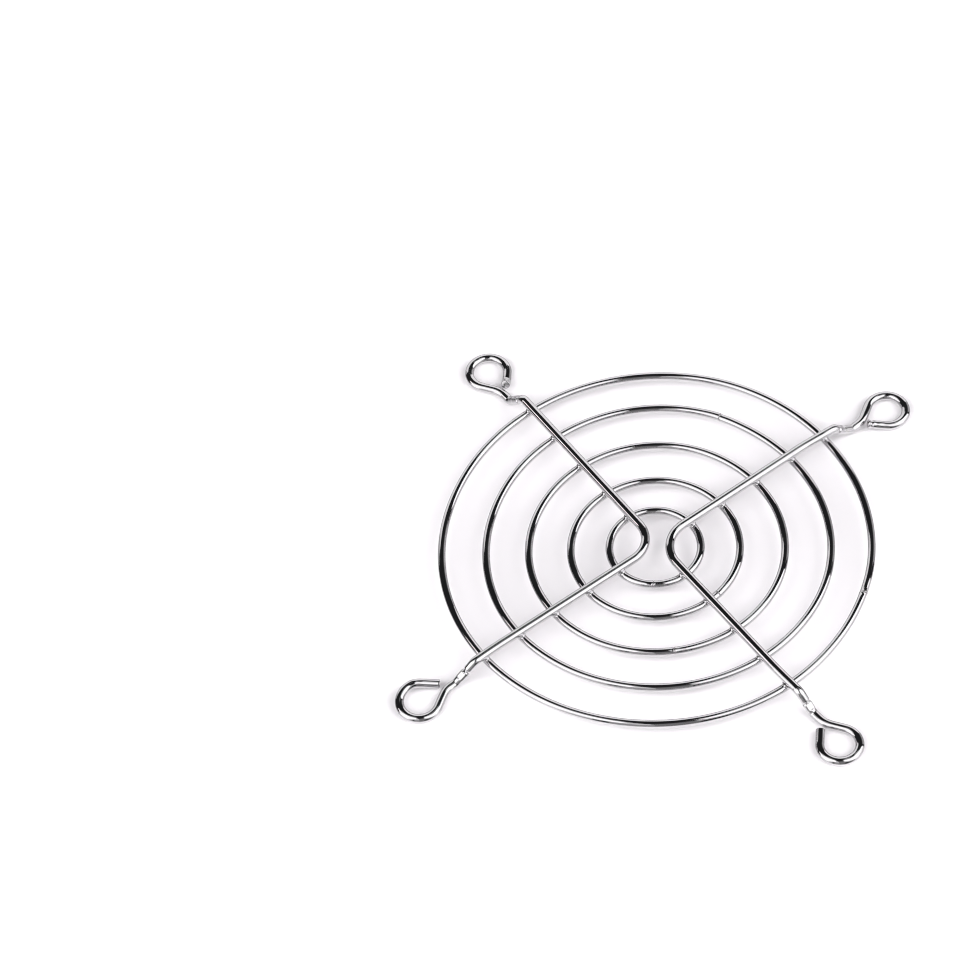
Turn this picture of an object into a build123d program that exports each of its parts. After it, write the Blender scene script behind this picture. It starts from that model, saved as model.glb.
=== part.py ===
# Wire fan guard: five round wire rings held by two V-shaped spoke wires that
# lie across them, step down outside the largest ring and end in open
# mounting eyes. Millimetres, +Z up and away from the fan. The origin is the
# middle of the guard on the plane that the undersides of the eyes rest on.
import os
from math import atan2, cos, degrees, hypot, pi, radians, sin, tan

from build123d import *

os.makedirs("parts", exist_ok=True)

# ---------------------------------------------------------------- dimensions
hole_pitch = 71.5            # mounting eyes, centre to centre, both ways
spoke_wire_d = 1.6
ring_wire_d = 1.4
ring_radii = {               # wire centre lines
    "inner_ring": 7.9,
    "second_ring": 14.65,
    "third_ring": 22.15,
    "fourth_ring": 29.8,
    "outer_ring": 37.2,
}
ring_seams = {               # where each ring's ends are joined, degrees
    "inner_ring": -84.0,
    "second_ring": -35.0,
    "third_ring": -74.0,
    "fourth_ring": 76.5,
    "outer_ring": -9.0,
}
seam_width = 0.10
seam_depth = 0.07
ring_height = 2.84           # centre line of the rings above the resting plane
spoke_height = 4.18          # centre line of the spokes
eye_height = spoke_wire_d / 2

bend_radius = 5.5            # V bend near the middle, wire centre line
lean_a = (0.09, -0.08)       # sideways offset of the first arm at 0 and 40 out
lean_b = (0.20, 0.89)        # the same for the second arm

step_start = 39.7            # distances from the middle along the arm
step_end = 43.1
step_end_offset = 0.45
step_top_radius = 1.4
step_foot_radius = 1.3
press_flat_from = 2.4        # the press's flat, by lengths down the step
press_flat_to = 3.8
press_flat_depth = 0.13
press_nose_radius = 0.30     # the press's nose, just above the flat
press_nose_depth = 0.20

eye_radius = 3.4             # wire centre line of the loop
eye_entry = 125.0            # where the wire joins the loop, from the outward way
eye_exit = -130.0            # where the straight tail leaves it
eye_tail = 2.9
lead_in_heading = 3.0
lead_in_radius = 4.5
eye_land_radius = eye_radius - spoke_wire_d / 2 + 0.07   # mandrel's mark

eye_out = hole_pitch / 2 * 2**0.5


# ------------------------------------------------------------ point geometry
class Arm:
    """Points of one arm, from directions measured along and across it."""

    def __init__(self, angle, lean):
        a = radians(angle)
        self.out = (cos(a), sin(a))
        self.side = (-sin(a), cos(a))
        self.lean = lean

    def point(self, along, across, height):
        return Vector(
            along * self.out[0] + across * self.side[0],
            along * self.out[1] + across * self.side[1],
            height,
        )

    def on_line(self, along):
        start, end = self.lean
        across = start + (end - start) * along / 40.0
        return self.point(along, across, spoke_height)


def corner(before, at, after, radius):
    """Start, middle and end of the arc that rounds a corner."""
    u = (before - at).normalized()
    v = (after - at).normalized()
    half = radians(u.get_angle(v)) / 2
    reach = radius / tan(half)
    centre = at + (u + v).normalized() * (radius / sin(half))
    middle = centre + (at - centre).normalized() * radius
    return at + u * reach, middle, at + v * reach


def meet(p, d, q, e):
    """Where two lines in the eye's plane cross."""
    det = d.X * e.Y - d.Y * e.X
    s = ((q.X - p.X) * e.Y - (q.Y - p.Y) * e.X) / det
    return p + d * s


def arm_run(arm):
    """Corners and loop points of one arm, from its step out to its tail."""
    top = arm.on_line(step_start)
    foot = arm.point(step_end, step_end_offset, eye_height)

    def loop(angle):
        a = radians(angle)
        return arm.point(eye_out + eye_radius * cos(a), eye_radius * sin(a), eye_height)

    def heading(angle):
        a = radians(angle)
        return arm.point(sin(a), -cos(a), 0)

    entry, leave = loop(eye_entry), loop(eye_exit)
    h = radians(lead_in_heading)
    knee = meet(foot, arm.point(cos(h), sin(h), 0), entry, heading(eye_entry))
    return {
        "top": top,
        "foot": foot,
        "knee": knee,
        "entry": entry,
        "far": loop((eye_entry + eye_exit) / 2),
        "leave": leave,
        "tail": leave + heading(eye_exit) * eye_tail,
        "eye": arm.point(eye_out, 0, eye_height),
    }


def v_corner(arm_1, arm_2):
    """Where the two arms' straight lines cross."""
    p, q = arm_1.on_line(0), arm_2.on_line(0)
    return meet(p, arm_1.on_line(40) - p, q, arm_2.on_line(40) - q)


def step_frame(run, distance):
    """Point, way and outward face of the step at a distance from its top."""
    along = (run["foot"] - run["top"]).normalized()
    across = Vector(-along.Y, along.X, 0).normalized()
    face = along.cross(across)
    if face.Z < 0:
        face = face * -1
    return run["top"] + along * distance, along, face


def spoke_wire(label, angle_a, angle_b):
    """One V-shaped wire with an eye at both ends."""
    first, second = Arm(angle_a, lean_a), Arm(angle_b, lean_b)
    a, b = arm_run(first), arm_run(second)
    apex = v_corner(first, second)

    bends = [
        (a["entry"], a["knee"], a["foot"], lead_in_radius),
        (a["knee"], a["foot"], a["top"], step_foot_radius),
        (a["foot"], a["top"], apex, step_top_radius),
        (a["top"], apex, b["top"], bend_radius),
        (apex, b["top"], b["foot"], step_top_radius),
        (b["top"], b["foot"], b["knee"], step_foot_radius),
        (b["foot"], b["knee"], b["entry"], lead_in_radius),
    ]
    with BuildPart() as wire:
        with BuildLine() as centre_line:
            Line(a["tail"], a["leave"])
            ThreePointArc(a["leave"], a["far"], a["entry"])
            here = a["entry"]
            for before, at, after, radius in bends:
                start, middle, end = corner(before, at, after, radius)
                Line(here, start)
                ThreePointArc(start, middle, end)
                here = end
            Line(here, b["entry"])
            ThreePointArc(b["entry"], b["far"], b["leave"])
            Line(b["leave"], b["tail"])
        with BuildSketch(Plane(origin=a["tail"], z_dir=a["leave"] - a["tail"])):
            Circle(spoke_wire_d / 2)
        sweep(path=centre_line.wires()[0])
        # the mandrel that the eyes are curled on leaves a narrow round land
        for run in (a, b):
            with Locations(run["eye"]):
                Cylinder(eye_land_radius, 3 * spoke_wire_d, mode=Mode.SUBTRACT)
        # the press that makes the step leaves a flat with a groove above it
        for run in (a, b):
            middle = (press_flat_from + press_flat_to) / 2
            at, along, face = step_frame(run, middle)
            base = at + face * (spoke_wire_d / 2 - press_flat_depth)
            with Locations(Plane(origin=base, x_dir=along, z_dir=face)):
                Box(
                    press_flat_to - press_flat_from, 2 * spoke_wire_d, 1.0,
                    align=(Align.CENTER, Align.CENTER, Align.MIN),
                    mode=Mode.SUBTRACT,
                )
            at, along, face = step_frame(run, press_flat_from - 0.15)
            rise = spoke_wire_d / 2 - press_nose_depth + press_nose_radius
            with Locations(Plane(origin=at + face * rise, x_dir=face, z_dir=face.cross(along))):
                Cylinder(press_nose_radius, 2 * spoke_wire_d, mode=Mode.SUBTRACT)
    wire.part.label = label
    return wire


def ring(label, spokes):
    """One ring with its seam and the seats that the spoke wires press in it."""
    radius = ring_radii[label]
    seam = radians(ring_seams[label])
    with BuildPart() as wire:
        with Locations((0, 0, ring_height)):
            Torus(radius, ring_wire_d / 2)
        seam_plane = Plane(
            origin=(radius * cos(seam), radius * sin(seam), ring_height),
            z_dir=(-sin(seam), cos(seam), 0),
        )
        with BuildSketch(seam_plane):
            Circle(ring_wire_d)
            Circle(ring_wire_d / 2 - seam_depth, mode=Mode.SUBTRACT)
        extrude(amount=seam_width / 2, both=True, mode=Mode.SUBTRACT)
        for spoke in spokes:
            add(spoke.part, mode=Mode.SUBTRACT)
    wire.part.label = label
    return wire


# ------------------------------------------------------------------- pieces
left_spoke_wire = spoke_wire("left_spoke_wire", 135, 225)
right_spoke_wire = spoke_wire("right_spoke_wire", 315, 45)
spoke_wires = [left_spoke_wire, right_spoke_wire]

inner_ring = ring("inner_ring", spoke_wires)
second_ring = ring("second_ring", spoke_wires)
third_ring = ring("third_ring", spoke_wires)
fourth_ring = ring("fourth_ring", spoke_wires)
outer_ring = ring("outer_ring", spoke_wires)

# ------------------------------------------------------------------- export
export_step(left_spoke_wire.part, "parts/left_spoke_wire.step")
export_step(right_spoke_wire.part, "parts/right_spoke_wire.step")
export_step(inner_ring.part, "parts/inner_ring.step")
export_step(second_ring.part, "parts/second_ring.step")
export_step(third_ring.part, "parts/third_ring.step")
export_step(fourth_ring.part, "parts/fourth_ring.step")
export_step(outer_ring.part, "parts/outer_ring.step")

for piece in (*spoke_wires, inner_ring, second_ring, third_ring, fourth_ring, outer_ring):
    box = piece.part.bounding_box()
    print(piece.part.label, round(piece.part.volume, 2), len(piece.part.solids()),
          [round(v, 3) for v in (*box.min, *box.max)])
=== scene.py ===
from math import atan2, cos, degrees, pi, radians, sin, tan

import bpy
import numpy as np
from mathutils import Matrix, Vector


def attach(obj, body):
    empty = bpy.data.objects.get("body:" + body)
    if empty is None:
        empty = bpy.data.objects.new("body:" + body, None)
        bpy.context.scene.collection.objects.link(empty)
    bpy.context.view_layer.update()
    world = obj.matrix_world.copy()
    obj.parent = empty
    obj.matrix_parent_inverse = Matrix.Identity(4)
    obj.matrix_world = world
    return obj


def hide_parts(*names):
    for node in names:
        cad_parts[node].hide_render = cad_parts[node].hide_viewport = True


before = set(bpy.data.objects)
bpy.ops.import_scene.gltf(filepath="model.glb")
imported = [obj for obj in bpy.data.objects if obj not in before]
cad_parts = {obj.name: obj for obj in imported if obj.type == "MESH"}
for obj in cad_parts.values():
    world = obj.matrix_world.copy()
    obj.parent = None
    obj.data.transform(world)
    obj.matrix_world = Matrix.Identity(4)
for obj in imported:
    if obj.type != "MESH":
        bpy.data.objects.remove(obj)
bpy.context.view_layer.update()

MM = 0.001

# ------------------------------------------------------------------ sizes, mm
PITCH = 71.5
SPOKE_R = 0.8
RING_R = 0.7
SPOKE_Z = 4.18
EYE_Z = 0.8
RING_Z = 2.84
EYE_OUT = PITCH / 2 * 2**0.5

# ------------------------------------------------------------------ the arms
# Every arm was bent in the same tool, and each came out a little different.
# lean: sideways offset at 0 and at 40 along the arm, counter-clockwise +.
# drift: how far it is sprung sideways and up, by the length from its free end.
# press: from where to where its flat touches down the step, its roll and
# depth, and how far above it the nose bit.
# tip: the wire's thickness by the length from its free end, against its rest.
COMMON = dict(
    step_start=39.7,
    step_end=42.7,
    step_end_offset=0.45,
    top_radius=1.4,
    foot_radius=1.3,
    lead_heading=3.0,
    lead_radius=4.5,
    eye_radius=3.4,
    eye_entry=125.0,
    eye_exit=-130.0,
    eye_tail=2.9,
    eye_at=(0.0, 0.0),
    drift=((0.0, 0.0, 0.0), (1.0, 0.0, 0.0)),
    press=(2.95, 4.35, 0.0, 0.13, 0.14),
    tip=((0.0, 1.0), (1.0, 1.0)),
)
ARMS = {
    "upper_left": dict(
        COMMON, angle=135.0, lean=(0.20, -0.24), step_end=43.1, eye_at=(0.12, -0.19),
        press=(1.9, 3.6, 0.0, 0.12, 0.14), eye_tail=3.2,
        drift=((0.0, 0.09, 0.88), (0.6, 0.02, 0.46), (1.2, 0.0, 0.07), (1.5, 0.0, 0.0),
               (2.2, 0.0, 0.0), (3.0, 0.0, 0.0)),
    ),
    "lower_left": dict(
        COMMON, angle=225.0, lean=(0.29, 0.78), step_start=39.4, step_end=43.5, eye_exit=-121.0,
        eye_at=(0.13, 0.04), eye_tail=3.65,
        tip=((0.0, 1.07), (0.12, 1.05), (0.35, 1.0), (1.0, 1.0)),
        press=(3.2, 4.7, -13.0, 0.13, 0.42),
        drift=((0.0, 0.0, 0.0), (1.8, 0.0, 0.45), (3.6, 0.0, 0.86), (4.3, 0.0, 0.92),
               (5.2, 0.0, 0.80), (8.0, 0.0, 0.42), (11.5, 0.0, 0.17), (15.0, 0.0, 0.08),
               (20.0, 0.0, 0.05), (24.0, 0.15, 0.0), (28.0, 0.20, 0.0), (32.0, 0.06, 0.0),
               (35.0, 0.0, 0.0), (36.0, 0.0, 0.0)),
    ),
    "lower_right": dict(
        COMMON, angle=315.0, lean=(-0.03, -0.10), eye_radius=3.36,
        press=(2.95, 4.35, 8.0, 0.22, 0.14),
        drift=((0.0, 0.24, 0.0), (24.0, 0.24, 0.0), (29.5, 0.22, 0.0), (33.0, 0.08, 0.0),
               (36.0, 0.0, 0.0), (37.0, 0.0, 0.0)),
    ),
    "upper_right": dict(
        COMMON, angle=45.0, lean=(0.124, 1.007), step_start=39.4, step_end=43.1,
        eye_exit=-126.0,
        eye_tail=3.52, press=(1.3, 3.1, 0.0, 0.12, 0.14),
        tip=((0.0, 0.96), (0.15, 1.0), (0.30, 1.0), (0.52, 0.83), (0.70, 0.81), (0.80, 0.83),
             (1.04, 0.98), (1.5, 0.92), (2.1, 0.96), (2.9, 0.93), (3.8, 0.97), (5.0, 1.0)),
        drift=((0.0, 0.0, 0.84), (1.6, 0.0, 0.54), (3.2, 0.0, 0.26), (4.5, 0.0, 0.10),
               (6.0, 0.0, 0.02), (7.5, 0.0, 0.0), (9.0, 0.0, 0.0), (14.0, 0.0, 0.0),
               (21.5, 0.0, 0.22), (24.5, 0.0, 0.22),
               (28.0, -0.20, -0.30), (29.4, -0.33, -0.12), (31.0, -0.30, 0.0),
               (33.0, -0.19, 0.0), (37.0, 0.0, 0.0), (38.0, 0.0, 0.0)),
    ),
}
BENDS = {"left_spoke_wire": 5.3, "right_spoke_wire": 5.9}

# ----------------------------------------------------------------- the rings
# radius, centre, where the ends are joined (degrees), and how far the ring
# stands out of round at some angles.
RINGS = {
    "inner_ring": dict(radius=7.917, centre=(-0.37, -0.19), seam=-84.0, shape=()),
    "second_ring": dict(radius=14.642, centre=(-0.31, -0.39), seam=-35.0, shape=()),
    "third_ring": dict(
        radius=22.147, centre=(-0.13, -0.18), seam=-74.0,
        shape=((0, 0.09), (30, -0.02), (60, -0.10), (90, 0.03), (130, 0.0),
               (162, -0.10), (200, 0.03), (240, 0.0), (288, -0.09), (330, 0.04)),
    ),
    "fourth_ring": dict(
        radius=29.826, centre=(0.04, 0.33), seam=76.5,
        shape=((0, 0.14), (18, -0.05), (36, -0.26), (48, -0.35), (60, -0.38),
               (70, -0.25), (76, -0.05), (77, 0.0), (84, 0.07), (96, 0.14), (120, 0.05),
               (144, -0.08), (168, -0.21), (192, 0.0), (216, 0.24), (240, 0.10),
               (270, 0.0), (300, 0.0), (330, 0.05)),
    ),
    "outer_ring": dict(
        radius=37.202, centre=(-0.26, 0.24), seam=-9.0,
        shape=((0, 0.0), (20, -0.06), (36, -0.14), (60, 0.0), (84, 0.12), (96, 0.09),
               (120, 0.0), (140, -0.05), (168, -0.17), (190, 0.0), (240, 0.09),
               (270, 0.0), (310, 0.0), (336, -0.17), (348, -0.14)),
    ),
}


# ------------------------------------------------------------------ wire path
def unit(v):
    return v / np.linalg.norm(v)


class Path:
    """Straight runs and arcs, end to end, read by the length along them."""

    def __init__(self, start):
        self.here = np.array(start, float)
        self.total = 0.0
        self.parts = []

    def line_to(self, end):
        end = np.array(end, float)
        length = np.linalg.norm(end - self.here)
        if length > 1e-9:
            self.parts.append(("line", self.total, length, self.here, unit(end - self.here)))
            self.total += length
        self.here = end

    def arc(self, centre, axis, angle):
        """Turns about a centre, along the right-handed axis, by an angle."""
        centre, axis = np.array(centre, float), unit(np.array(axis, float))
        x = self.here - centre
        radius = np.linalg.norm(x)
        y = np.cross(axis, x)
        length = radius * abs(angle)
        self.parts.append(("arc", self.total, length, centre, x, y, angle))
        self.total += length
        self.here = centre + cos(angle) * x + sin(angle) * y

    def round_corner(self, at, after, radius):
        """Runs to a corner, and round it, towards the next point."""
        at, after = np.array(at, float), np.array(after, float)
        u, v = unit(self.here - at), unit(after - at)
        half = np.arccos(np.clip(u @ v, -1, 1)) / 2
        reach = radius / tan(half)
        centre = at + unit(u + v) * (radius / sin(half))
        self.line_to(at + u * reach)
        self.arc(centre, np.cross(self.here - centre, v), pi - 2 * half)
        self.here = at + v * reach

    def read(self, s):
        points, ways = np.zeros((len(s), 3)), np.zeros((len(s), 3))
        for part in self.parts:
            start, length = part[1], part[2]
            last = part is self.parts[-1]
            pick = (s >= start - 1e-9) & ((s < start + length) | last)
            t = s[pick] - start
            if part[0] == "line":
                points[pick] = part[3] + t[:, None] * part[4]
                ways[pick] = part[4]
            else:
                centre, x, y, angle = part[3:]
                a = (t / length * angle)[:, None]
                points[pick] = centre + np.cos(a) * x + np.sin(a) * y
                way = (-np.sin(a) * x + np.cos(a) * y) * np.sign(angle)
                ways[pick] = way / np.linalg.norm(way, axis=1)[:, None]
        return points, ways


class Arm:
    def __init__(self, facts):
        self.facts = facts
        a = radians(facts["angle"])
        self.out = np.array((cos(a), sin(a), 0))
        self.side = np.array((-sin(a), cos(a), 0))

    def point(self, along, across, height):
        return along * self.out + across * self.side + np.array((0, 0, height))

    def on_line(self, along):
        start, end = self.facts["lean"]
        return self.point(along, start + (end - start) * along / 40.0, SPOKE_Z)


def meet(p, d, q, e):
    """Where two level lines cross."""
    det = d[0] * e[1] - d[1] * e[0]
    s = ((q[0] - p[0]) * e[1] - (q[1] - p[1]) * e[0]) / det
    return p + d * s


def arm_points(arm):
    f = arm.facts
    top = arm.on_line(f["step_start"])
    foot = arm.point(f["step_end"], f["step_end_offset"], EYE_Z)
    eye_u, eye_w = EYE_OUT + f["eye_at"][0], f["eye_at"][1]
    r = f["eye_radius"]

    def loop(angle):
        a = radians(angle)
        return arm.point(eye_u + r * cos(a), eye_w + r * sin(a), EYE_Z)

    def heading(angle):
        a = radians(angle)
        return arm.point(sin(a), -cos(a), 0)

    entry, leave = loop(f["eye_entry"]), loop(f["eye_exit"])
    h = radians(f["lead_heading"])
    knee = meet(foot, arm.point(cos(h), sin(h), 0), entry, heading(f["eye_entry"]))
    return dict(
        top=top, foot=foot, knee=knee, entry=entry, leave=leave,
        tail=leave + heading(f["eye_exit"]) * f["eye_tail"],
        eye=arm.point(eye_u, eye_w, EYE_Z),
        sweep=radians(f["eye_entry"] - f["eye_exit"]),
    )


# -------------------------------------------------------------- wire surface
def stations(total, base, dense):
    """Lengths from 0 to the end, closer together round the dense places."""
    out = [0.0]
    while out[-1] < total:
        s, step = out[-1], base
        for at, reach, fine in dense:
            gap = max(0.0, abs(s - at) - reach)
            step = min(step, fine + 0.3 * gap)
        out.append(s + step)
    if total - out[-2] < 0.3 * base:
        out.pop(-2)
    out[-1] = total
    return np.array(out)


def frames(ways):
    """Up and side of the wire at each station; the wire never runs upright."""
    up = np.array((0.0, 0.0, 1.0)) - ways * ways[:, 2:3]
    up /= np.linalg.norm(up, axis=1)[:, None]
    return up, np.cross(ways, up)


def near_segment(p, a, b):
    """How far points are from the line between two points."""
    d = b - a
    t = np.clip(((p - a) @ d) / (d @ d), 0, 1)
    return np.linalg.norm(p - (a + t[..., None] * d), axis=-1)


def soft_less(value, soft):
    """How much of a value above nothing to take off, with an eased edge."""
    return soft * np.logaddexp(0, value / soft)


def make_wire(name, s, verts, closed, ends=None, masks=None):
    """A mesh from rows of points round a wire. verts is (rows, around, 3)."""
    rows, around = verts.shape[:2]
    points = verts.reshape(-1, 3)
    faces = []
    j = np.arange(around)
    k = (j + 1) % around
    last = rows if closed else rows - 1
    for i in range(last):
        a, b = i * around, ((i + 1) % rows) * around
        faces.extend(zip(a + j, a + k, b + k, b + j))
    uv_v = np.arange(around + 1) / around
    mesh = bpy.data.meshes.new(name)
    extra, caps = [], []
    if not closed:
        for tip, row in ((ends[0], 0), (ends[1], rows - 1)):
            at = len(points) + len(extra)
            extra.append(tip)
            for a, b in zip(j, k):
                caps.append((row * around + a, row * around + b, at))
            if row == 0:
                caps[-around:] = [(b, a, c) for a, b, c in caps[-around:]]
    if extra:
        points = np.vstack([points, np.array(extra)])
    mesh.from_pydata((points * MM).tolist(), [], [tuple(map(int, f)) for f in faces + caps])
    # the map runs along the wire and round it, in wire lengths of 10 mm
    layer = mesh.uv_layers.new(name="wire_map")
    length = np.append(s, s[-1] + (s[-1] - s[-2])) if closed else s
    uv = np.zeros((len(mesh.loops), 2), np.float32)
    n = last * around
    i = np.repeat(np.arange(last), around)
    jj = np.tile(j, last)
    quad = np.zeros((n, 4, 2), np.float32)
    for corner, (di, dj) in enumerate(((0, 0), (0, 1), (1, 1), (1, 0))):
        quad[:, corner, 0] = length[i + di] / 10
        quad[:, corner, 1] = uv_v[jj + dj]
    uv[: 4 * n] = quad.reshape(-1, 2)
    if caps:
        cap = np.zeros((len(caps), 3, 2), np.float32)
        cap[:, :, 0] = -0.05
        uv[4 * n:] = cap.reshape(-1, 2)
    layer.data.foreach_set("uv", uv.ravel())
    if masks is not None:
        for label, values in masks.items():
            attribute = mesh.attributes.new(label, "FLOAT", "POINT")
            flat = values.reshape(-1)
            if extra:
                flat = np.append(flat, [1.0] * len(extra))
            attribute.data.foreach_set("value", flat.astype(np.float32))
    mesh.polygons.foreach_set("use_smooth", [True] * len(mesh.polygons))
    mesh.update()
    if mesh_volume(mesh) < 0:
        mesh.flip_normals()
    obj = bpy.data.objects.new(name, mesh)
    bpy.context.scene.collection.objects.link(obj)
    return obj


def mesh_volume(mesh):
    mesh.calc_loop_triangles()
    co = np.zeros(len(mesh.vertices) * 3)
    mesh.vertices.foreach_get("co", co)
    co = co.reshape(-1, 3)
    tri = np.zeros(len(mesh.loop_triangles) * 3, np.int32)
    mesh.loop_triangles.foreach_get("vertices", tri)
    a, b, c = (co[tri.reshape(-1, 3)[:, n]] for n in range(3))
    return float(np.einsum("ij,ij->i", a, np.cross(b, c)).sum())


# ---------------------------------------------------------------- spoke wires
AROUND_SPOKE = 48
AROUND_RING = 44
arms = {name: Arm(facts) for name, facts in ARMS.items()}
runs = {name: arm_points(arm) for name, arm in arms.items()}


# how deep and wide the press's nose goes, and the die below the top
NOSE, NOSE_WIDE, DIE = 0.20, 0.24, 0.06


def press(verts, radial, up, side, phi, down, start, end, roll, depth, above):
    """Necks the wire where the tool's nose bit, and flattens it below that."""
    nose = np.exp(-(((down - start + above) / NOSE_WIDE) ** 2)) * NOSE
    verts -= (nose[:, None] * (0.5 + 0.5 * np.cos(phi))[None])[..., None] * radial
    flat_part = 1 / (1 + np.exp(-(down - start) / 0.04)) / (1 + np.exp((down - end) / 0.1))
    flatten(verts, up, side, phi, flat_part, depth, roll, 0.08)
    top_part = 1 / (1 + np.exp(-down / 0.1)) / (1 + np.exp((down - 1.7) / 0.1))
    flatten(verts, up, side, phi, top_part, DIE, pi, 0.03)


def flatten(verts, up, side, phi, amount, depth, roll, spread):
    """Flattens one side of part of the wire, and spreads it a little."""
    face = cos(roll) * up + sin(roll) * side
    edge = cos(roll) * side - sin(roll) * up
    over = SPOKE_R * np.cos(phi - roll)[None] - (SPOKE_R - depth * amount[:, None])
    cut = amount[:, None] * soft_less(over, 0.012)
    verts -= cut[..., None] * face[:, None]
    verts += (spread * amount[:, None] * np.sin(phi - roll)[None] * SPOKE_R)[..., None] * edge[:, None]


def corner_reach(before, at, after, radius):
    """How far from a corner its rounding starts."""
    u, v = unit(before - at), unit(after - at)
    return radius / tan(np.arccos(np.clip(u @ v, -1, 1)) / 2)


def eased(knots, x):
    """A smooth curve through the knots, level before and after them."""
    at = np.array([k[0] for k in knots], float)
    value = np.array([k[1:] for k in knots], float)
    slope = np.gradient(value, at, axis=0)
    slope[-1] = 0
    i = np.clip(np.searchsorted(at, x, side="right") - 1, 0, len(at) - 2)
    h = (at[i + 1] - at[i])[:, None]
    t = np.clip((x - at[i]) / (at[i + 1] - at[i]), 0, 1)[:, None]
    return (
        (2 * t**3 - 3 * t**2 + 1) * value[i]
        + (t**3 - 2 * t**2 + t) * h * slope[i]
        + (-2 * t**3 + 3 * t**2) * value[i + 1]
        + (t**3 - t**2) * h * slope[i + 1]
    )


def spoke_path(name, first, second):
    """The wire's middle line, and where its two steps start."""
    a, b = runs[first], runs[second]
    p, q = arms[first].on_line(0), arms[second].on_line(0)
    apex = meet(p, arms[first].on_line(40) - p, q, arms[second].on_line(40) - q)
    path = Path(a["tail"])
    path.line_to(a["leave"])
    path.arc(a["eye"], (0, 0, 1), a["sweep"])
    fa, fb = arms[first].facts, arms[second].facts
    marks = {}
    path.round_corner(a["knee"], a["foot"], fa["lead_radius"])
    path.round_corner(a["foot"], a["top"], fa["foot_radius"])
    path.round_corner(a["top"], apex, fa["top_radius"])
    marks["step_a"] = path.total
    path.round_corner(apex, b["top"], BENDS[name])
    path.line_to(b["top"] + unit(apex - b["top"]) * corner_reach(apex, b["top"], b["foot"], fb["top_radius"]))
    marks["step_b"] = path.total
    path.round_corner(b["top"], b["foot"], fb["top_radius"])
    path.round_corner(b["foot"], b["knee"], fb["foot_radius"])
    path.round_corner(b["knee"], b["entry"], fb["lead_radius"])
    path.line_to(b["entry"])
    path.arc(b["eye"], (0, 0, -1), b["sweep"])
    path.line_to(b["tail"])
    return path, marks


def spoke_wire(name, first, second):
    path, marks = spoke_path(name, first, second)
    total = path.total
    dense = [(0.0, 1.5, 0.03), (total, 1.5, 0.03)]
    dense += [(marks["step_a"] - 2.8, 3.2, 0.06), (marks["step_b"] + 2.8, 3.2, 0.06)]
    s = stations(total, 0.28, dense)
    points, ways = path.read(s)
    for arm, free in ((arms[first], s), (arms[second], total - s)):
        sideways, rise = eased(arm.facts["drift"], free).T
        off = sideways[:, None] * arm.side + rise[:, None] * np.array((0.0, 0.0, 1.0))
        points += off
        ways += np.gradient(off, s, axis=0)
    ways /= np.linalg.norm(ways, axis=1)[:, None]
    up, side = frames(ways)
    phi = np.arange(AROUND_SPOKE) / AROUND_SPOKE * 2 * pi
    cut = np.minimum(s, total - s)
    # the sheared ends are a little rounded over
    edge = 0.16
    radius = SPOKE_R * np.where(
        cut < edge, 0.78 + 0.22 * np.sqrt(np.clip(1 - (1 - cut / edge) ** 2, 0, 1)), 1.0
    )
    radial = np.cos(phi)[None, :, None] * up[:, None] + np.sin(phi)[None, :, None] * side[:, None]
    tips = [points[0] - ways[0] * 0.02, points[-1] + ways[-1] * 0.02]
    for arm, free in ((first, s), (second, total - s)):
        at, scale = np.array(arms[arm].facts["tip"]).T
        radius *= np.interp(free, at, scale)
    verts = points[:, None] + radius[:, None, None] * radial
    # the press that makes the step leaves a neck and a flat on its slope
    # distances down the step from the start of its top bend, outwards
    for arm, down, hand in (
        (first, marks["step_a"] - s, -1), (second, s - marks["step_b"], 1),
    ):
        start, end, roll, depth, above = arms[arm].facts["press"]
        press(verts, radial, up, side, phi, down, start, end, radians(roll) * hand, depth, above)
    worn = np.repeat(np.exp(-((cut / 0.12) ** 2))[:, None], AROUND_SPOKE, axis=1)
    weld = np.zeros(worn.shape)
    for ring in RINGS.values():
        flat = points[:, :2] - np.array(ring["centre"])
        gap = np.abs(np.hypot(flat[:, 0], flat[:, 1]) - ring["radius"])
        low = 0.5 - 0.5 * np.cos(phi)
        weld = np.maximum(weld, np.exp(-((gap / 0.9) ** 2))[:, None] * low[None] ** 2)
    return make_wire(name, s, verts, False, tips, dict(cut_end=worn, weld=weld))


# ---------------------------------------------------------------------- rings
def out_of_round(shape, theta):
    """A smooth closed curve through the measured places."""
    if not shape:
        return np.zeros_like(theta)
    angle = np.array([a for a, _ in shape], float)
    value = np.array([v for _, v in shape], float)
    angle = np.concatenate([angle - 360, angle, angle + 360])
    value = np.concatenate([value] * 3)
    slope = np.gradient(value, angle)
    deg = np.degrees(theta) % 360
    i = np.clip(np.searchsorted(angle, deg, side="right") - 1, 0, len(angle) - 2)
    h = angle[i + 1] - angle[i]
    t = (deg - angle[i]) / h
    return (
        (2 * t**3 - 3 * t**2 + 1) * value[i]
        + (t**3 - 2 * t**2 + t) * h * slope[i]
        + (-2 * t**3 + 3 * t**2) * value[i + 1]
        + (t**3 - t**2) * h * slope[i + 1]
    )


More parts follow.
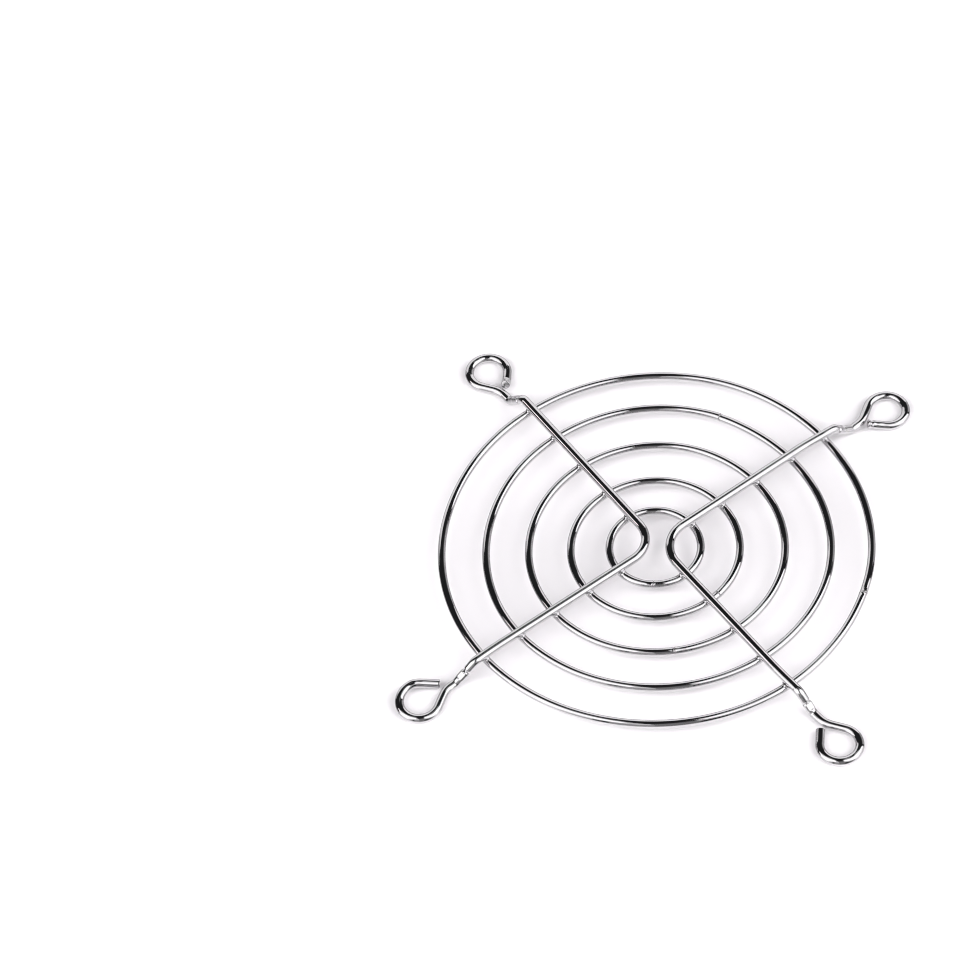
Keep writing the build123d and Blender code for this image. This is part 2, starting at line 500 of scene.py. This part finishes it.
def ring(name):
    facts = RINGS[name]
    radius, centre, seam = facts["radius"], np.array(facts["centre"]), radians(facts["seam"])
    around_length = 2 * pi * radius
    # arc lengths start opposite the seam, so that nothing special is at 0
    start = seam + pi
    crossings = []
    for arm in arms.values():
        p, q = arm.on_line(2)[:2] - centre, arm.on_line(39)[:2] - centre
        d = unit(q - p)
        along = -(p @ d) + np.sqrt((p @ d) ** 2 - p @ p + radius**2)
        at = p + along * d
        crossings.append(((atan2(at[1], at[0]) - start) % (2 * pi)) * radius)
    seam_at = around_length / 2
    dense = [(c, 1.5, 0.07) for c in crossings] + [(seam_at, 0.35, 0.02)]
    s = stations(around_length, 0.30, dense)[:-1]
    theta = start + s / radius

    def line(theta):
        r = radius + out_of_round(facts["shape"], theta)
        return np.stack(
            [centre[0] + r * np.cos(theta), centre[1] + r * np.sin(theta),
             np.full(len(theta), RING_Z)], -1,
        )

    points = line(theta)
    ways = line(theta + 1e-3) - line(theta - 1e-3)
    ways /= np.linalg.norm(ways, axis=1)[:, None]
    up, side = frames(ways)
    phi = np.arange(AROUND_RING) / AROUND_RING * 2 * pi
    normal = np.cos(phi)[None, :, None] * up[:, None] + np.sin(phi)[None, :, None] * side[:, None]
    # the butt weld: a small upset each side of a fine line, ends a hair apart
    gap = s - seam_at
    r = RING_R * (
        1 + 0.030 * np.exp(-((np.abs(gap) - 0.16) / 0.11) ** 2) - 0.085 * np.exp(-((gap / 0.045) ** 2))
    )
    slip = 0.045 * np.tanh(gap / 0.05) * np.exp(-((gap / 0.8) ** 2))
    points = points + slip[:, None] * (0.6 * side + 0.8 * up)
    verts = points[:, None] + r[:, None, None] * normal

    # where a spoke wire is welded on, the metal closes up to it in a fillet
    blend, weld = 0.60, np.zeros(verts.shape[:2])
    grow = np.zeros(verts.shape[:2])
    for arm in arms.values():
        p, q = arm.on_line(2), arm.on_line(39)
        away = near_segment(verts, p, q) - SPOKE_R
        weld = np.maximum(weld, np.exp(-((np.clip(away, 0, None) / 0.30) ** 2)))
        close = away < blend
        if not close.any():
            continue
        base, way = verts[close], normal[close]
        reach = np.linspace(0, 0.5, 101)
        root, touch = np.full(len(base), np.nan), np.full(len(base), np.nan)
        previous = None
        for t in reach:
            spoke = near_segment(base + t * way, p, q) - SPOKE_R
            touch = np.where(np.isnan(touch) & (spoke <= 0), t, touch)
            h = np.clip(blend - np.abs(t - spoke), 0, None) / blend
            union = np.minimum(t, spoke) - h * h * blend / 4
            if previous is not None:
                hit = np.isnan(root) & (union >= 0) & (previous < 0)
                part = -previous[hit] / np.maximum(union[hit] - previous[hit], 1e-9)
                root[hit] = t - (reach[1] - reach[0]) * (1 - part)
            previous = union
        # points under the spoke wire climb to its surface, and those inside it sink
        root = np.fmin(root, touch + 0.02)
        sink = np.clip(away[close], -0.16, 0)
        move = np.where(away[close] < 0, sink, np.nan_to_num(root))
        grow[close] = np.where(np.abs(move) > np.abs(grow[close]), move, grow[close])
    verts = verts + grow[..., None] * normal
    return make_wire(name, s, verts, True, masks=dict(cut_end=np.repeat(
        np.exp(-((gap / 0.10) ** 2))[:, None], AROUND_RING, axis=1), weld=weld))


# ------------------------------------------------------------------ materials
def plated_wire(name, radius_mm, seed):
    """Bright plating over drawn wire: fine lines along it, a faint ripple, and
    a greyer, rougher skin beside the welds and on the sheared ends."""
    mat = bpy.data.materials.new(name)
    mat.use_nodes = True
    nodes, links = mat.node_tree.nodes, mat.node_tree.links
    shader = nodes["Principled BSDF"]
    shader.inputs["Metallic"].default_value = 1.0

    def node(kind, **settings):
        made = nodes.new(kind)
        for key, value in settings.items():
            setattr(made, key, value)
        return made

    def noise(vector, scale, detail, rough=0.5):
        n = node("ShaderNodeTexNoise")
        n.inputs["Scale"].default_value = scale
        n.inputs["Detail"].default_value = detail
        n.inputs["Roughness"].default_value = rough
        links.new(vector, n.inputs["Vector"])
        return n.outputs["Fac"]

    def stretch(vector, scale, shift):
        m = node("ShaderNodeMapping")
        m.inputs["Scale"].default_value = scale
        m.inputs["Location"].default_value = (shift, shift * 0.37, shift * 0.71)
        links.new(vector, m.inputs["Vector"])
        return m.outputs["Vector"]

    def math(op, a, b, clamp=False):
        m = node("ShaderNodeMath", operation=op, use_clamp=clamp)
        for socket, value in zip(m.inputs, (a, b)):
            if isinstance(value, (int, float)):
                socket.default_value = value
            else:
                links.new(value, socket)
        return m.outputs[0]

    def spread(value, lo, hi, to_lo, to_hi):
        m = node("ShaderNodeMapRange", clamp=True)
        links.new(value, m.inputs["Value"])
        for key, v in (("From Min", lo), ("From Max", hi), ("To Min", to_lo), ("To Max", to_hi)):
            m.inputs[key].default_value = v
        return m.outputs["Result"]

    place = node("ShaderNodeTexCoord").outputs["Object"]
    along = node("ShaderNodeUVMap", uv_map="wire_map").outputs["UV"]
    weld = node("ShaderNodeAttribute", attribute_name="weld").outputs["Fac"]
    cut = node("ShaderNodeAttribute", attribute_name="cut_end").outputs["Fac"]

    lines = noise(stretch(along, (3.0, 60.0, 1.0), seed), 1.0, 3.0, 0.6)
    ripple = noise(stretch(place, (1, 1, 1), seed), 900.0, 2.0)
    cloud = noise(stretch(place, (1, 1, 1), seed * 1.7), 240.0, 3.0, 0.55)
    specks = noise(stretch(place, (1, 1, 1), seed * 0.6), 5200.0, 2.0, 0.7)

    # dull skin: ragged beside the welds, and all over the sheared ends
    ragged = math("MULTIPLY", weld, spread(specks, 0.38, 0.62, 0.05, 0.55))
    dull = math("MAXIMUM", ragged, math("MULTIPLY", cut, 0.45))

    ramp = node("ShaderNodeValToRGB")
    ramp.color_ramp.elements[0].position = 0.30
    ramp.color_ramp.elements[0].color = (0.70, 0.695, 0.705, 1)
    ramp.color_ramp.elements[1].position = 0.72
    ramp.color_ramp.elements[1].color = (0.83, 0.82, 0.832, 1)
    links.new(math("ADD", math("MULTIPLY", cloud, 0.6), math("MULTIPLY", lines, 0.4)), ramp.inputs["Fac"])
    mix = node("ShaderNodeMix", data_type="RGBA")
    links.new(math("MULTIPLY", dull, 0.75), mix.inputs["Factor"])
    links.new(ramp.outputs["Color"], mix.inputs["A"])
    mix.inputs["B"].default_value = (0.46, 0.452, 0.458, 1)
    links.new(mix.outputs["Result"], shader.inputs["Base Color"])

    base = math("ADD", spread(cloud, 0.35, 0.70, 0.035, 0.075), spread(lines, 0.45, 0.80, 0.0, 0.03))
    rough = math("ADD", base, math("MULTIPLY", dull, 0.22), clamp=True)
    links.new(rough, shader.inputs["Roughness"])

    height = math("ADD", math("MULTIPLY", lines, 0.25), math("MULTIPLY", ripple, 0.75))
    height = math("ADD", height, math("MULTIPLY", math("MULTIPLY", specks, dull), 0.9))
    bump = node("ShaderNodeBump")
    bump.inputs["Strength"].default_value = 0.35
    bump.inputs["Distance"].default_value = 0.00001
    links.new(height, bump.inputs["Height"])
    links.new(bump.outputs["Normal"], shader.inputs["Normal"])
    return mat


pieces = {}
for node_name, pair in (
    ("left_spoke_wire", ("upper_left", "lower_left")),
    ("right_spoke_wire", ("lower_right", "upper_right")),
):
    pieces[node_name] = spoke_wire(node_name, *pair)
for node_name in RINGS:
    pieces[node_name] = ring(node_name)

for number, (node_name, piece) in enumerate(pieces.items()):
    spoke = node_name.endswith("spoke_wire")
    piece.name = "bright_" + node_name
    piece.data.name = piece.name
    piece.data.materials.append(
        plated_wire("plated_" + node_name, SPOKE_R if spoke else RING_R, 1.3 + 2.1 * number)
    )
    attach(piece, "root")
    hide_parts(node_name)


# ------------------------------------------------------------------- studio
def floor():
    size, n = 1.6, 2
    mesh = bpy.data.meshes.new("floor")
    mesh.from_pydata(
        [(-size, -size, 0), (size, -size, 0), (size, size, 0), (-size, size, 0)], [], [(0, 1, 2, 3)]
    )
    obj = bpy.data.objects.new("floor", mesh)
    bpy.context.scene.collection.objects.link(obj)
    mat = bpy.data.materials.new("pale_floor")
    mat.use_nodes = True
    nodes, links = mat.node_tree.nodes, mat.node_tree.links
    shader = nodes["Principled BSDF"]
    shader.inputs["Roughness"].default_value = 0.9
    shader.inputs["Specular IOR Level"].default_value = 0.1
    grain = nodes.new("ShaderNodeTexNoise")
    grain.inputs["Scale"].default_value = 60.0
    grain.inputs["Detail"].default_value = 4.0
    ramp = nodes.new("ShaderNodeValToRGB")
    ramp.color_ramp.elements[0].color = (0.880, 0.866, 0.880, 1)
    ramp.color_ramp.elements[1].color = (0.890, 0.876, 0.890, 1)
    where = nodes.new("ShaderNodeTexCoord")
    links.new(where.outputs["Object"], grain.inputs["Vector"])
    links.new(grain.outputs["Fac"], ramp.inputs["Fac"])
    links.new(ramp.outputs["Color"], shader.inputs["Base Color"])
    # painted shade in the wires' reflections: for glossy rays only, the sheet's lit white is swapped
    # for black the lower the wires look across it, and a mirror sheen of the studio round it is added
    # that only those rays see; the camera sees the plain pale sheet
    # the mirror sheen, given only to rays reflected off the wires
    glossy_rays_sheen = nodes.new("ShaderNodeBsdfGlossy")
    glossy_rays_sheen.inputs["Roughness"].default_value = 0.10
    # black painted in place of the sheet's lit white, in the wires' reflections only
    painted_black = nodes.new("ShaderNodeEmission")
    painted_black.inputs["Strength"].default_value = 0.0
    low = nodes.new("ShaderNodeLayerWeight")
    low.inputs["Blend"].default_value = 0.5
    rays = nodes.new("ShaderNodeLightPath")

    def curve(stops):
        made = nodes.new("ShaderNodeValToRGB")
        while len(made.color_ramp.elements) < len(stops):
            made.color_ramp.elements.new(0.5)
        for element, (at, value) in zip(made.color_ramp.elements, stops):
            element.position, element.color = at, (value, value, value, 1)
        links.new(low.outputs["Facing"], made.inputs["Fac"])
        return made.outputs["Color"]

    def arithmetic(op, a, b):
        made = nodes.new("ShaderNodeMath")
        made.operation = op
        for socket, value in zip(made.inputs, (a, b)):
            if isinstance(value, float):
                socket.default_value = value
            else:
                links.new(value, socket)
        return made.outputs[0]

    glossy = rays.outputs["Is Glossy Ray"]
    white = curve(((0.20, 0.87), (0.36, 0.71), (0.53, 0.47), (0.72, 0.16), (0.86, 0.02)))
    mirror = curve(((0.45, 0.03), (0.60, 0.17), (0.72, 0.45), (0.80, 0.72), (0.90, 1.0)))
    # painted shade: the share of the sheet's white that glossy rays see as black instead
    painted_shade_share = arithmetic("MULTIPLY", arithmetic("SUBTRACT", 1.0, white), glossy)
    blend = nodes.new("ShaderNodeMixShader")
    links.new(painted_shade_share, blend.inputs["Fac"])
    links.new(shader.outputs[0], blend.inputs[1])
    links.new(painted_black.outputs[0], blend.inputs[2])
    links.new(arithmetic("MULTIPLY", mirror, glossy), glossy_rays_sheen.inputs["Color"])
    total = nodes.new("ShaderNodeAddShader")
    links.new(blend.outputs[0], total.inputs[0])
    links.new(glossy_rays_sheen.outputs[0], total.inputs[1])
    links.new(total.outputs[0], nodes["Material Output"].inputs["Surface"])
    mesh.materials.append(mat)
    return obj


def panel(name, columns, strength, radius=1.5, fine=5, lights=False):
    """A softbox or card: part of a big sphere round the object. Each column is
    its compass direction (counter-clockwise from +X), and the lowest and
    highest angle above the floor there. It is either what the wires mirror or
    what lights the sheet."""
    az, lo, hi = (np.array(v, float) for v in zip(*columns))
    cols = np.unique(np.concatenate([az, np.arange(az[0], az[-1], fine)]))
    rows = 14
    points, faces = [], []
    for f in np.linspace(0, 1, rows):
        for a in cols:
            low, high = np.interp(a, az, lo), np.interp(a, az, hi)
            e = radians(low + f * (high - low))
            d = radians(a)
            points.append((radius * cos(e) * cos(d), radius * cos(e) * sin(d), radius * sin(e)))
    for r in range(rows - 1):
        for c in range(len(cols) - 1):
            i = r * len(cols) + c
            faces.append((i, i + len(cols), i + len(cols) + 1, i + 1))
    mesh = bpy.data.meshes.new(name)
    mesh.from_pydata(points, [], faces)
    obj = bpy.data.objects.new(name, mesh)
    bpy.context.scene.collection.objects.link(obj)
    mat = bpy.data.materials.new(name)
    mat.use_nodes = True
    nodes, links = mat.node_tree.nodes, mat.node_tree.links
    nodes.remove(nodes["Principled BSDF"])
    glow = nodes.new("ShaderNodeEmission")
    glow.inputs["Color"].default_value = (1.0, 0.985, 1.0, 1)
    glow.inputs["Strength"].default_value = strength
    links.new(glow.outputs[0], nodes["Material Output"].inputs["Surface"])
    mesh.materials.append(mat)
    obj.visible_camera = False
    obj.visible_shadow = False
    obj.visible_diffuse = lights
    obj.visible_glossy = not lights
    return obj


floor()
# the two softboxes, with their dimmer edges
panel("softbox_left", [
    (201, 1, 46), (204, 1, 51), (208, 1, 56), (213, 1, 60), (219, 1, 63), (225, 1, 66),
    (231, 1, 68), (234, 3, 69), (237, 14, 70), (243, 25, 69), (249, 33, 67), (255, 38, 64),
    (259, 38, 58), (263, 38, 46)], 1.35)
panel("softbox_left_flap", [(184, 20, 32), (192, 17, 35), (201, 13, 38)], 1.3)
panel("softbox_left_foot", [(194, 1, 14), (201, 1, 12)], 0.60)
panel("softbox_left_rim", [
    (186, 50, 58), (190, 34, 70), (196, 37, 76), (201, 46, 78), (204, 51, 78), (208, 56, 79),
    (213, 60, 79), (219, 63, 79), (231, 68, 79), (237, 70, 78), (243, 69, 76), (249, 67, 74),
    (255, 64, 71), (259, 58, 67), (263, 46, 61), (270, 40, 54)], 0.56)
panel("softbox_left_skirt", [
    (234, 1, 3), (237, 1, 14), (243, 8, 25), (249, 16, 33), (255, 24, 38), (263, 30, 38)], 0.95)
panel("softbox_right", [
    (300, 48, 62), (303, 42, 65), (309, 36, 69), (315, 31, 72), (321, 24, 74), (327, 16, 74),
    (333, 11, 72), (339, 8, 70), (345, 3, 68), (351, 3, 66), (357, 6, 64), (363, 11, 62),
    (380, 11, 62), (389, 13, 61), (393, 26, 60), (396, 46, 59)], 1.35)
panel("softbox_right_foot", [
    (336, 1, 9), (342, 1, 5), (345, 1, 3), (351, 1, 3), (357, 1, 6), (363, 1, 11),
    (389, 1, 13)], 0.90)
panel("softbox_right_skirt", [
    (295, 26, 54), (300, 22, 48), (306, 17, 39), (312, 13, 33), (318, 9, 27), (324, 6, 20),
    (330, 3, 13), (336, 1, 9)], 0.45)
panel("softbox_right_rim", [
    (302, 64, 68), (309, 69, 75), (315, 72, 79), (321, 74, 82), (333, 72, 83), (345, 68, 83),
    (357, 64, 82), (365, 62, 76), (375, 62, 72), (390, 61, 68), (405, 58, 67)], 0.68)
panel("top_right", [(365, 76, 82), (388, 72, 82)], 0.42)
panel("top_bar", [(388, 74, 81), (425, 74, 79), (435, 68, 76), (442, 64, 71), (450, 61, 67)], 0.26)
panel("top_side", [(405, 58, 67), (420, 61, 66), (440, 61, 65)], 0.32)
panel("top_left", [(120, 74, 79), (186, 73, 80)], 0.15)
# the cards and the sweep between them
panel("card_1", [(239, 1, 7), (244, 1, 10), (251, 1, 18)], 0.46)
panel("card_2", [(251, 1, 18), (258, 1, 26)], 0.05)
panel("card_3", [(258, 1, 30), (276, 1, 30)], 0.36)
panel("card_4", [(261, 30, 38), (269, 30, 52), (275, 30, 40)], 0.72)
panel("card_5", [(276, 1, 44), (286, 1, 44), (295, 1, 44)], 0.19)
panel("card_6", [(272, 44, 54), (286, 44, 60), (297, 48, 64)], 0.12)
panel("card_7", [(306, 1, 17), (318, 1, 9), (330, 1, 3)], 0.06)
panel("sweep_side_1", [(36, 1, 11), (65, 1, 11)], 0.50)
panel("sweep_side_2", [(36, 11, 18), (65, 11, 18)], 0.31)
panel("sweep_side_3", [(38, 18, 31), (66, 18, 31)], 0.16)
panel("sweep_back_1", [
    (65, 1, 18), (69, 1, 27), (75, 1, 35), (82, 1, 40), (88, 1, 43), (93, 1, 48), (105, 1, 49),
    (111, 1, 45), (114, 1, 43)], 0.92)
panel("sweep_back_2", [(114, 1, 43), (118, 1, 41), (135, 1, 40), (141, 1, 37), (148, 1, 29)], 0.80)
panel("sweep_back_3", [(148, 1, 29), (152, 1, 20), (155, 1, 14), (158, 1, 8)], 0.45)
# the light on the sheet, from the same two sides
panel("key_left", [(190, 1, 66), (238, 1, 68), (246, 30, 68), (266, 33, 68)], 4.0, lights=True)
panel("key_right", [(300, 42, 76), (312, 34, 76), (325, 8, 72), (345, 1, 66), (391, 1, 60)],
      4.0, lights=True)

world = bpy.data.worlds.new("studio")
bpy.context.scene.world = world
world.use_nodes = True
wn, wl = world.node_tree.nodes, world.node_tree.links
back = wn["Background"]
back.inputs["Color"].default_value = (0.015, 0.015, 0.016, 1)
pale = wn.new("ShaderNodeBackground")
pale.inputs["Color"].default_value = (0.93, 0.915, 0.93, 1)
path = wn.new("ShaderNodeLightPath")
pick = wn.new("ShaderNodeMixShader")
wl.new(path.outputs["Is Camera Ray"], pick.inputs["Fac"])
wl.new(back.outputs[0], pick.inputs[1])
wl.new(pale.outputs[0], pick.inputs[2])
wl.new(pick.outputs[0], wn["World Output"].inputs["Surface"])

# ------------------------------------------------------------------- camera
camera = bpy.data.cameras.new("camera")
camera.lens = 4664 / 960 * 36
camera.sensor_width = 36
camera.shift_x = -0.5 / 960
camera.shift_y = 0.5 / 960
camera.clip_start, camera.clip_end = 0.05, 20
holder = bpy.data.objects.new("camera", camera)
bpy.context.scene.collection.objects.link(holder)
right = Vector((0.98487073, 0.16291404, -0.05906491))
down = Vector((0.09529402, -0.79383927, -0.6006149))
ahead = right.cross(down)
turn = Matrix((right, -down, -ahead)).transposed()
holder.matrix_world = Matrix.Translation(
    Vector((85.5972, -468.8864, 655.2540)) * MM
) @ turn.to_4x4()
bpy.context.scene.camera = holder

bpy.context.scene.cycles.filter_width = 1.1
view = bpy.context.scene.view_settings
view.view_transform = "Standard"
view.look = "None"
